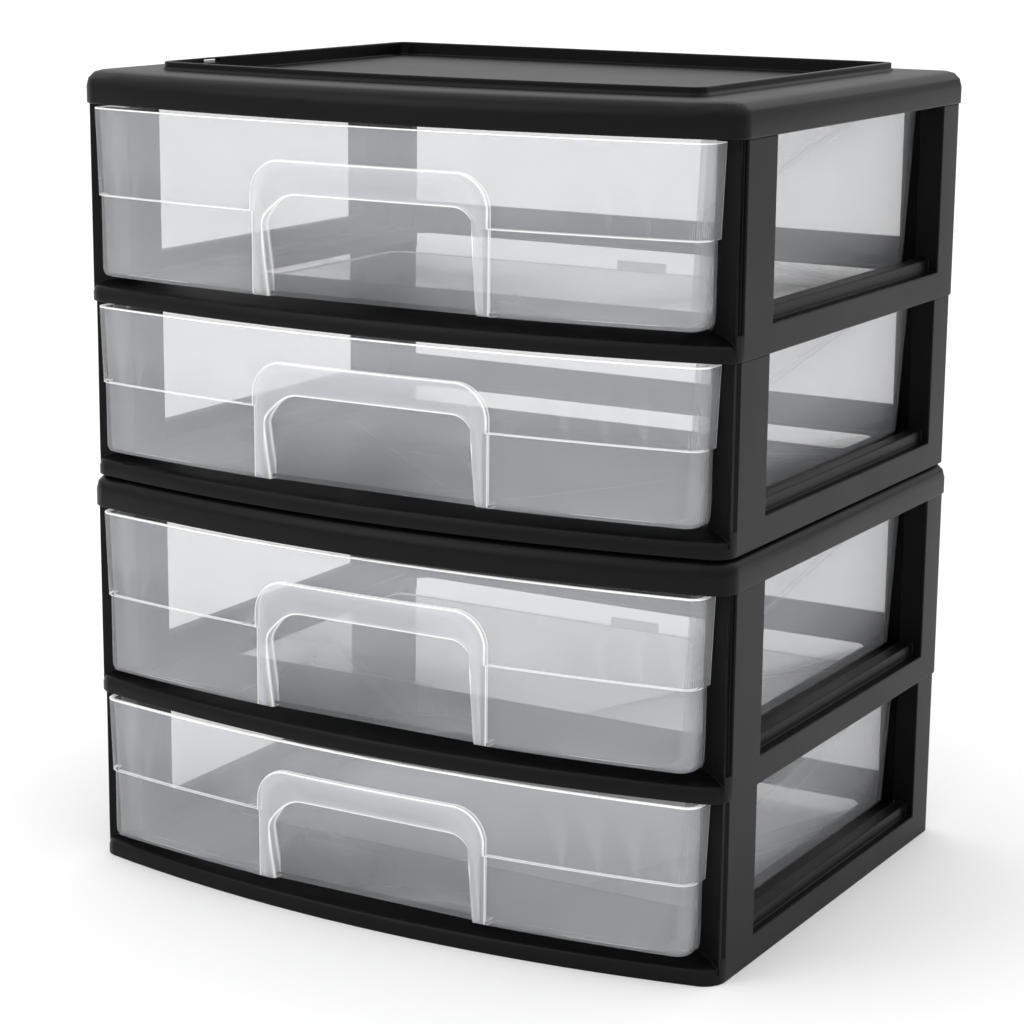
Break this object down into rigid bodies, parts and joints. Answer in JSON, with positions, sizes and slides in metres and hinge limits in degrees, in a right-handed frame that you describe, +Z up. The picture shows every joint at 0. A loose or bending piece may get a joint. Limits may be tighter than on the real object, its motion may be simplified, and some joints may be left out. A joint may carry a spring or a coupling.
{
  "type": "plastic drawer tower",
  "caption": "Tabletop drawer tower in two stacked units: black bow-fronted frames and lids with translucent sliding drawers for craft supplies and small parts.",
  "frame": {"origin": "middle of the footprint on the floor", "axes": "+Z up through the stack, front of the drawers towards -Y, +X to the right of someone facing the drawers"},
  "size_m": [0.368, 0.293, 0.418],
  "materials": {
    "frame_black": "satin moulded",
    "lid_black": "satin moulded, slightly glossier on the rounded edge",
    "drawer_frosted": "frosted translucent, smooth"
  },
  "bodies": {
    "tower": {"lower_base_frame": "frame_black", "lower_shelf_frame": "frame_black", "upper_base_frame": "frame_black", "upper_shelf_frame": "frame_black", "lower_lid": "lid_black", "upper_lid": "lid_black"},
    "lower_base_drawer": {"lower_base_drawer": "drawer_frosted"},
    "lower_shelf_drawer": {"lower_shelf_drawer": "drawer_frosted"},
    "upper_base_drawer": {"upper_base_drawer": "drawer_frosted"},
    "upper_shelf_drawer": {"upper_shelf_drawer": "drawer_frosted"}
  },
  "joints": [
    {"name": "lower_base_slide", "type": "slide", "parent": "tower", "child": "lower_base_drawer", "axis": [0, -1, 0], "range_m": [0, 0.2]},
    {"name": "lower_shelf_slide", "type": "slide", "parent": "tower", "child": "lower_shelf_drawer", "axis": [0, -1, 0], "range_m": [0, 0.2]},
    {"name": "upper_base_slide", "type": "slide", "parent": "tower", "child": "upper_base_drawer", "axis": [0, -1, 0], "range_m": [0, 0.2]},
    {"name": "upper_shelf_slide", "type": "slide", "parent": "tower", "child": "upper_shelf_drawer", "axis": [0, -1, 0], "range_m": [0, 0.2]}
  ]
}
